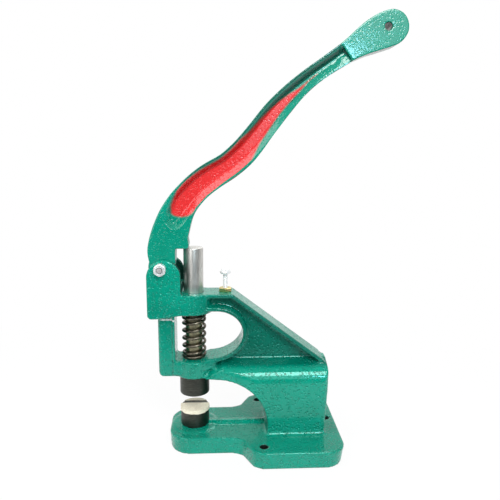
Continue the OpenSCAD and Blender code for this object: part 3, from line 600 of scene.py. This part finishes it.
def pan_head(radius, low, top):
    """A pan head with a cross recess: a low dome over its edge, sunk where either arm of the cross
    lies, deeper towards the middle."""
    angle = angles(96)
    chamfer, arm_reach, arm_half, sink = 0.25, 2.3, 0.62, 1.9
    out = np.linspace(1, 0, 46)[:, None] * radius
    dome = low + (top - low) * (0.32 + 0.68 * np.sqrt(np.clip(1 - (out / radius) ** 2.6, 0, 1)))
    x, y = out * np.cos(angle), out * np.sin(angle)
    near_arm = np.minimum(np.abs(x), np.abs(y))
    sunk = ramp(out, arm_reach, arm_reach - 0.35) * ramp(near_arm, arm_half, arm_half - 0.22)
    face = upright(out, angle, dome - sink * sunk * (1 - out / 5.5))
    under = turned([(0, low), (radius - chamfer, low), (radius, low + chamfer)])
    return np.concatenate((under, face))


def stop_pieces(zinc, brass):
    """The stop screw and the brass nut that locks it."""
    rod = threaded(STOP_R, STOP_FOOT, STOP_NECK + 0.5, 0.7)
    head = pan_head(STOP_HEAD_R, STOP_NECK, STOP_TOP)
    nut = hexagon(BRASS_FLATS, BRASS_HIGH, STOP_R, 0.3)
    for grid in (rod, head, nut):
        grid += (STOP_X, 0, BAR_TOP)
    place(piece("stop_bolt", [rod, head], 45), "frame", "zinc_steel", zinc, "stop_screw")
    place(piece("lock_nut", [nut]), "frame", "brass_nut", brass, "stop_screw_nut")


def anvil_pieces(black):
    """The anvil on its pad."""
    foot = PAD_TOP - SPIGOT_DEEP
    shape = turned(eased([
        (0, foot, 0), (SPIGOT_R, foot, 0.3), (SPIGOT_R, PAD_TOP, 0), (ANVIL_R, PAD_TOP, 0.5),
        (ANVIL_R, ANVIL_TOP, 0.6), (0, ANVIL_TOP, 0)]), 128)
    place(piece("round_anvil", [shape]), "frame", "black_steel", black, "anvil")


def tape_strip(name, node_name, paper, rear):
    """A strip of tape pressed over the anvil, on one side of the slit across its top. The top's rows
    go from the slit's straight edge to the anvil's rim. The side's rows go down from the rim, further
    out on each crease, to a ragged lower edge. The underside follows the anvil."""
    count, top_rows, side_rows, gap = 121, 14, 14, 0.02
    reach, inner = ANVIL_R + TAPE, ANVIL_R + gap
    edge = SLIT_Y + (SLIT / 2 if rear else -SLIT / 2)
    half = math.sqrt(reach ** 2 - edge ** 2)
    start = math.atan2(edge, half)
    angle = np.linspace(start, (math.pi if rear else -math.pi) - start, count)
    crease = 0.5 + 0.5 * np.sin(angle * 37 + 1.3 * np.sin(angle * 11))
    ragged = 0.14 * np.sin(angle * 5 + 1) + 0.10 * np.sin(angle * 13)
    rim = np.stack((reach * np.cos(angle), reach * np.sin(angle)), -1)
    flat = np.stack((np.linspace(half, -half, count), np.full(count, edge)), -1)
    t = np.linspace(0, 1, top_rows)[:, None]
    top_places = flat + (rim - flat) * t[..., None]
    top_heights = ANVIL_TOP + TAPE - 0.02 * crease * t
    t = np.linspace(0.06, 1, side_rows)[:, None]
    side_places = rim * (1 + 0.10 * crease * t / reach)[..., None]
    side_heights = ANVIL_TOP + TAPE - (TAPE_WRAP + ragged - 0.4) * t
    places = np.concatenate((top_places, side_places))
    top = np.dstack((places, np.concatenate((top_heights, side_heights))))
    under = top.copy()
    under[:top_rows, :, :2] *= inner / reach
    under[0, :, 1] = edge
    under[:top_rows, :, 2] = ANVIL_TOP + 0.01
    under[top_rows:, :, :2] *= inner / np.linalg.norm(top[top_rows:, :, :2], axis=-1, keepdims=True)
    made = open_piece(name, np.concatenate((top, under[::-1], top[:1])))
    place(made, "frame", "masking_tape", paper, node_name)


# Shader nodes


def node(tree, kind, inputs=None, **settings):
    """One shader node. inputs maps a socket's name or number to a value or to another socket."""
    made = tree.nodes.new(kind)
    for key, value in settings.items():
        setattr(made, key, value)
    for key, value in (inputs or {}).items():
        if isinstance(value, bpy.types.NodeSocket):
            tree.links.new(value, made.inputs[key])
        else:
            made.inputs[key].default_value = value
    return made


def blend(tree, factor, low, high, mode="MIX"):
    """A colour between low and high."""
    made = node(tree, "ShaderNodeMix", {0: factor, 6: low, 7: high}, data_type="RGBA", blend_type=mode)
    return made.outputs[2]


def span(tree, value, low, high, to_low=0.0, to_high=1.0, curve="LINEAR"):
    """Stretches a value from low..high to to_low..to_high, and holds it there."""
    inputs = {"Value": value, "From Min": low, "From Max": high, "To Min": to_low, "To Max": to_high}
    return node(tree, "ShaderNodeMapRange", inputs, interpolation_type=curve).outputs["Result"]


def calc(tree, operation, *values):
    """The result of one sum on one or two values."""
    return node(tree, "ShaderNodeMath", dict(enumerate(values)), operation=operation).outputs[0]


def noise(tree, at, scale, detail, roughness=0.5):
    """A cloudy value from 0 to 1."""
    inputs = {"Vector": at, "Scale": scale, "Detail": detail, "Roughness": roughness}
    return node(tree, "ShaderNodeTexNoise", inputs).outputs["Fac"]


def bump(tree, height, distance, strength=1.0, **under):
    """The surface's direction, tilted by a height, on top of any Normal that is given."""
    inputs = {"Height": height, "Distance": distance, "Strength": strength, **under}
    return node(tree, "ShaderNodeBump", inputs).outputs["Normal"]


def object_place(tree):
    """The place on the piece, in metres."""
    return node(tree, "ShaderNodeTexCoord").outputs["Object"]


def stretched(tree, at, factors):
    """A place with each axis multiplied by its own factor."""
    return node(tree, "ShaderNodeVectorMath", {0: at, 1: factors}, operation="MULTIPLY").outputs[0]


def axes_of(tree, vector):
    """A vector's X, Y and Z."""
    return node(tree, "ShaderNodeSeparateXYZ", {0: vector}).outputs


def layer(tree, name):
    """The number that the mesh stores for each point under a name."""
    return node(tree, "ShaderNodeAttribute", attribute_name=name).outputs["Fac"]


def group(name, takes, gives):
    """An empty node group with named inputs (name, kind, default) and outputs (name, kind)."""
    tree = bpy.data.node_groups.new(name, "ShaderNodeTree")
    for label, kind, default in takes:
        socket = tree.interface.new_socket(label, in_out="INPUT", socket_type="NodeSocket" + kind)
        socket.default_value = default
    for label, kind in gives:
        tree.interface.new_socket(label, in_out="OUTPUT", socket_type="NodeSocket" + kind)
    return tree, tree.nodes.new("NodeGroupInput").outputs, tree.nodes.new("NodeGroupOutput").inputs


def use(tree, name, values):
    """Places a node group in a material with its own values, and returns its outputs."""
    return node(tree, "ShaderNodeGroup", values, node_tree=bpy.data.node_groups[name]).outputs


def finish(name, **fixed):
    """A material with a plain Principled shader: its tree and its shader's inputs. fixed sets inputs
    by name, with an underscore for each space."""
    material = bpy.data.materials.new(name)
    material.use_nodes = True
    shader = material.node_tree.nodes["Principled BSDF"]
    for key, value in fixed.items():
        shader.inputs[key.replace("_", " ")].default_value = value
    return material, material.node_tree, shader.inputs


# Effects that several finishes share


def build_hammered():
    """Hammered enamel: a glossy coat with gentle waves and scattered round dimples, and clouds in its
    colour."""
    tree, takes, gives = group(
        "hammered_enamel", [("Depth", "Float", 0.0006)],
        [("Cloud", "Float"), ("Fleck", "Float"), ("Roughness", "Float"), ("Normal", "Vector")])
    at = object_place(tree)
    cells = node(tree, "ShaderNodeTexVoronoi", {"Vector": at, "Scale": 480.0, "Smoothness": 0.25},
                 feature="SMOOTH_F1").outputs["Distance"]
    dimple = span(tree, cells, 0.08, 0.5, curve="SMOOTHSTEP")
    waves = bump(tree, noise(tree, at, 330.0, 1.0), 0.0001)
    cloud = noise(tree, at, 38.0, 4.0, 0.6)
    tree.links.new(span(tree, cloud, 0.35, 0.68), gives["Cloud"])
    tree.links.new(span(tree, cells, 0.3, 0.1), gives["Fleck"])
    tree.links.new(span(tree, cloud, 0.3, 0.7, 0.11, 0.19), gives["Roughness"])
    tree.links.new(bump(tree, dimple, takes["Depth"], Normal=waves), gives["Normal"])


def build_grain():
    """Turned or drawn metal: fine lines, longest along the axes that Stretch multiplies least, and a
    few smears."""
    tree, takes, gives = group(
        "metal_grain",
        [("Stretch", "Vector", (1.0, 1.0, 1.0)), ("Depth", "Float", 0.000004), ("Low", "Float", 0.2),
         ("High", "Float", 0.4)],
        [("Line", "Float"), ("Smear", "Float"), ("Roughness", "Float"), ("Normal", "Vector")])
    at = object_place(tree)
    line = noise(tree, stretched(tree, at, takes["Stretch"]), 1.0, 5.0, 0.7)
    smear = noise(tree, at, 130.0, 4.0)
    rough = span(tree, calc(tree, "MULTIPLY", line, smear), 0.12, 0.4, takes["Low"], takes["High"])
    tree.links.new(span(tree, line, 0.35, 0.65), gives["Line"])
    tree.links.new(span(tree, smear, 0.4, 0.65), gives["Smear"])
    tree.links.new(rough, gives["Roughness"])
    tree.links.new(bump(tree, line, takes["Depth"]), gives["Normal"])


# Finishes


def painted_highlight_line(tree):
    """A painted highlight: a thin pale line where the front column meets the ears, on its near face, in
    a box given by its middle and half widths in Object coordinates."""
    axes = axes_of(tree, object_place(tree))
    mask = 1.0
    for axis, (middle, half) in zip("XYZ", HIGHLIGHT_BOX):
        away = calc(tree, "ABSOLUTE", calc(tree, "SUBTRACT", axes[axis], middle * MM))
        mask = calc(tree, "MULTIPLY", mask, span(tree, away, half * MM * 0.8, half * MM * 1.2, 1.0, 0.0))
    return mask


def enamel(name, of_lever):
    """Glossy green hammered enamel, with painted shade where the mesh says so. The lever's has the red
    paint laid over it; the frame's has a painted highlight under the ears, painted shade in the bench holes,
    and a matt painted shadow between the ears."""
    material, tree, shader = finish(name, Specular_IOR_Level=0.5, Coat_Roughness=0.06, Coat_IOR=1.5)
    hammered = use(tree, "hammered_enamel", {"Depth": 0.00012 if of_lever else 0.0006})
    colour = blend(tree, hammered["Cloud"], GREEN_DARK, GREEN)
    colour = blend(tree, calc(tree, "MULTIPLY", hammered["Fleck"], 0.12), colour, GREEN_LIGHT)
    rough = hammered["Roughness"]
    if of_lever:
        colour = blend(tree, layer(tree, "red_paint"), colour, RED)
        shader["Coat Weight"].default_value = 0.2
    else:
        shader["Specular Tint"].default_value = (0.28, 1.0, 0.88, 1)
        shadowed = layer(tree, "painted_ear_shadow")
        # painted highlight under the ears, painted shade in the bench holes, painted shadow between the ears
        for mask, tone in ((painted_highlight_line(tree), LINE_HIGHLIGHT), (layer(tree, "painted_hole_shade"), HOLE_SHADOW), (shadowed, SHADOW_TONE)):
            colour = blend(tree, mask, colour, tone)
        # the painted shadow between the ears is also matt and has no coat
        rough = calc(tree, "MAXIMUM", rough, shadowed)
        tree.links.new(span(tree, shadowed, 0.0, 1.0, 0.35, 0.0), shader["Coat Weight"])
    # painted shade: the paint is darkened where the mesh stores it
    shade = blend(tree, layer(tree, "shade_painted_in"), WHITE, LEVER_SHADE_TONE if of_lever else FRAME_SHADE_TONE)
    tree.links.new(blend(tree, 1.0, colour, shade, "MULTIPLY"), shader["Base Color"])
    tree.links.new(rough, shader["Roughness"])
    tree.links.new(hammered["Normal"], shader["Normal"])
    return material


def metal(name, light, dark, stretch, depth, rough, metallic=1.0, lower_toned=False, gap=False):
    """Bare or plated metal with its grain: two tones, the darker one in smears and lines. With lower_toned,
    what stands below the upper guide is darker and browner, and gap paints shade on the metal where
    the mesh marks the gap round a thread."""
    material, tree, shader = finish(name, Metallic=metallic)
    grain = use(tree, "metal_grain", {"Stretch": stretch, "Depth": depth, "Low": rough[0], "High": rough[1]})
    colour = blend(tree, grain["Line"], (*dark, 1), (*light, 1))
    colour = blend(tree, calc(tree, "MULTIPLY", grain["Smear"], 0.35), colour, (*dark, 1))
    # darker and browner below the upper guide
    if lower_toned:
        height = axes_of(tree, object_place(tree))["Z"]
        below_guide = blend(tree, span(tree, height, 0.122, 0.112), WHITE, (0.46, 0.43, 0.29, 1))
        colour = blend(tree, 1.0, colour, below_guide, "MULTIPLY")
    # painted shade in the gap round the thread
    if gap:
        colour = blend(tree, layer(tree, "shade_round_thread"), colour, (0.10, 0.10, 0.10, 1))
    tree.links.new(colour, shader["Base Color"])
    tree.links.new(grain["Roughness"], shader["Roughness"])
    tree.links.new(grain["Normal"], shader["Normal"])
    return material


def paper_tape(name):
    """Masking tape: matt creped paper, fine folds across it with painted shade in them, faint brown from
    handling.
    """
    material, tree, shader = finish(name, Specular_IOR_Level=0.25)
    at = object_place(tree)
    crepe = noise(tree, stretched(tree, at, (5200.0, 700.0, 5200.0)), 1.0, 3.0)
    stain = noise(tree, at, 160.0, 4.0)
    colour = blend(tree, span(tree, stain, 0.35, 0.7), (0.88, 0.82, 0.66, 1), (0.78, 0.71, 0.56, 1))
    # darker where the crepe lies low: painted shade in its folds
    colour = blend(tree, span(tree, crepe, 0.3, 0.6), (0.62, 0.56, 0.43, 1), colour)
    tree.links.new(colour, shader["Base Color"])
    tree.links.new(bump(tree, crepe, 0.00012, 0.8), shader["Normal"])
    tree.links.new(span(tree, crepe, 0.3, 0.7, 0.62, 0.85), shader["Roughness"])
    return material


def pieces():
    """Every visible piece with its finish."""
    build_hammered()
    build_grain()
    even = (900.0, 900.0, 900.0)
    ground = metal("ground_steel", light=(0.86, 0.85, 0.81), dark=(0.58, 0.57, 0.54),
                   stretch=(2400.0, 2400.0, 45.0), depth=0.000006, rough=(0.30, 0.46), lower_toned=True)
    black = metal("black_oxide", light=(0.092, 0.094, 0.08), dark=(0.04, 0.041, 0.035),
                  stretch=(200.0, 200.0, 3000.0), depth=0.000006, rough=(0.32, 0.5))
    wire = metal("spring_wire", light=(0.24, 0.21, 0.16), dark=(0.05, 0.045, 0.035),
                 stretch=(500.0, 500.0, 500.0), depth=0.00001, rough=(0.25, 0.5))
    zinc = metal("bright_zinc", light=(0.95, 0.96, 0.96), dark=(0.78, 0.79, 0.79),
                 stretch=even, depth=0.000005, rough=(0.26, 0.42), metallic=0.5)
    cut_end = metal("cut_bolt_end", light=(0.62, 0.60, 0.59), dark=(0.42, 0.40, 0.40),
                    stretch=even, depth=0.000008, rough=(0.26, 0.42), metallic=0.4, gap=True)
    brass = metal("machined_brass", light=(0.92, 0.80, 0.40), dark=(0.60, 0.50, 0.20),
                  stretch=(900.0, 900.0, 3000.0), depth=0.000006, rough=(0.22, 0.4))
    plain = metal("plain_steel", light=(0.45, 0.44, 0.42), dark=(0.20, 0.19, 0.18),
                  stretch=(600.0, 600.0, 2400.0), depth=0.000006, rough=(0.25, 0.45))
    paper = paper_tape("creped_paper")
    castings(enamel("green_enamel", of_lever=False), enamel("green_and_red_enamel", of_lever=True))
    ram_pieces(ground, black, plain)
    spring(wire)
    pivot_pieces(zinc, cut_end)
    stop_pieces(zinc, brass)
    anvil_pieces(black)
    tape_strip("tape_near_strip", "tape_front", paper, rear=False)
    tape_strip("tape_far_strip", "tape_rear", paper, rear=True)
    for name, material in (("handle_bush", plain), ("collar_ring", black), ("head_grub_screw", black),
                           ("anvil_screw", zinc)):
        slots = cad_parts[name].data.materials
        slots.clear()
        slots.append(material)


# Stage


def lamp(name, at, towards, size, power, colour=(1, 1, 1)):
    """A square soft lamp facing a point, in metres and watts."""
    data = bpy.data.lights.new(name, "AREA")
    data.color = colour
    data.size = size
    data.energy = power
    made = new_object(name, data)
    made.location = at
    made.rotation_euler = (Vector(towards) - Vector(at)).to_track_quat("-Z", "Y").to_euler()


def room():
    """A room that the camera sees as white. All else sees it bright behind the press and dim in front
    of it, half bright high up all round, and with a pale band low down on the right."""
    world = bpy.data.worlds.new("white_room")
    bpy.context.scene.world = world
    world.use_nodes = True
    tree = world.node_tree
    tree.nodes.clear()
    path = node(tree, "ShaderNodeLightPath").outputs
    seen = calc(tree, "MAXIMUM", path["Is Camera Ray"], path["Is Transmission Ray"])
    axes = axes_of(tree, node(tree, "ShaderNodeTexCoord").outputs["Generated"])
    behind = span(tree, axes["Y"], -0.45, 0.3, 0.03, 1.0)
    above = span(tree, axes["Z"], 0.25, 0.65, 1.0, 0.45)
    low = calc(tree, "MULTIPLY", span(tree, axes["Z"], 0.0, 0.12, 0.0, 0.4),
               span(tree, axes["X"], -0.05, 0.15))
    front = calc(tree, "MAXIMUM", low, span(tree, axes["Z"], 0.15, 0.35, 0.0, 0.45))
    strength = calc(tree, "MAXIMUM", calc(tree, "MULTIPLY", behind, above), front)
    dim = node(tree, "ShaderNodeBackground", {"Color": WHITE, "Strength": strength}).outputs[0]
    white = node(tree, "ShaderNodeBackground", {"Color": WHITE, "Strength": 1.0}).outputs[0]
    both = node(tree, "ShaderNodeMixShader", {0: seen, 1: dim, 2: white})
    node(tree, "ShaderNodeOutputWorld", {"Surface": both.outputs[0]})


def table():
    """A white sheet under the press. To the camera it glows white, but for a small share near the
    press, where the soft shadow shows. In reflections it is dark in front of the press."""
    mesh = bpy.data.meshes.new("table")
    mesh.from_pydata([(-4, -4, 0), (4, -4, 0), (4, 4, 0), (-4, 4, 0)], [], [(0, 1, 2, 3)])
    material, tree, shader = finish("white_table", Roughness=0.6)
    to_camera = node(tree, "ShaderNodeLightPath").outputs["Is Camera Ray"]
    at = object_place(tree)
    in_front = span(tree, axes_of(tree, at)["Y"], -0.15, -0.22)
    dim = calc(tree, "MULTIPLY", in_front, calc(tree, "SUBTRACT", 1.0, to_camera))
    sheet = blend(tree, dim, (0.88, 0.88, 0.88, 1), (0.03, 0.03, 0.03, 1))
    tree.links.new(sheet, shader["Base Color"])
    away = node(tree, "ShaderNodeVectorMath", {0: at}, operation="LENGTH").outputs["Value"]
    share = calc(tree, "MULTIPLY", to_camera, span(tree, away, 0.16, 0.40, 0.92, 1.0))
    lit = tree.nodes["Principled BSDF"].outputs[0]
    glow = node(tree, "ShaderNodeEmission", {"Color": WHITE, "Strength": 1.0}).outputs[0]
    both = node(tree, "ShaderNodeMixShader", {0: share, 1: lit, 2: glow}).outputs[0]
    tree.links.new(both, tree.nodes["Material Output"].inputs["Surface"])
    mesh.materials.append(material)
    new_object("table", mesh)


def stage():
    """The room, the sheet, a large lamp high on the camera's side, one behind, one low to the left,
    one high to the left, and a pale blue window to the right with a bluer gap in it."""
    room()
    lamp("high_lamp", (0.24, -0.76, 0.84), (0.03, 0, 0.12), size=0.44, power=7.6)
    lamp("back_lamp", (0.15, 0.55, 0.75), (0.05, 0, 0.1), size=0.40, power=1.4)
    lamp("left_lamp", (-0.45, -0.90, 0.30), (0.02, 0, 0.15), size=0.40, power=1.8)
    lamp("side_lamp", (-0.68, -0.24, 1.04), (0.03, 0, 0.2), size=0.7, power=4.8)
    window = (0.08, 0, 0.2)
    lamp("window_lamp", (0.35, -0.98, 0.50), window, size=0.60, power=2.2, colour=(0.85, 0.95, 1.0))
    lamp("window_gap", (0.335, -1.0, 0.485), window, size=0.08, power=1.0, colour=(0.35, 0.75, 1.0))
    table()


photo_camera()
pieces()
stage()

bpy.context.scene.view_settings.view_transform = "Standard"
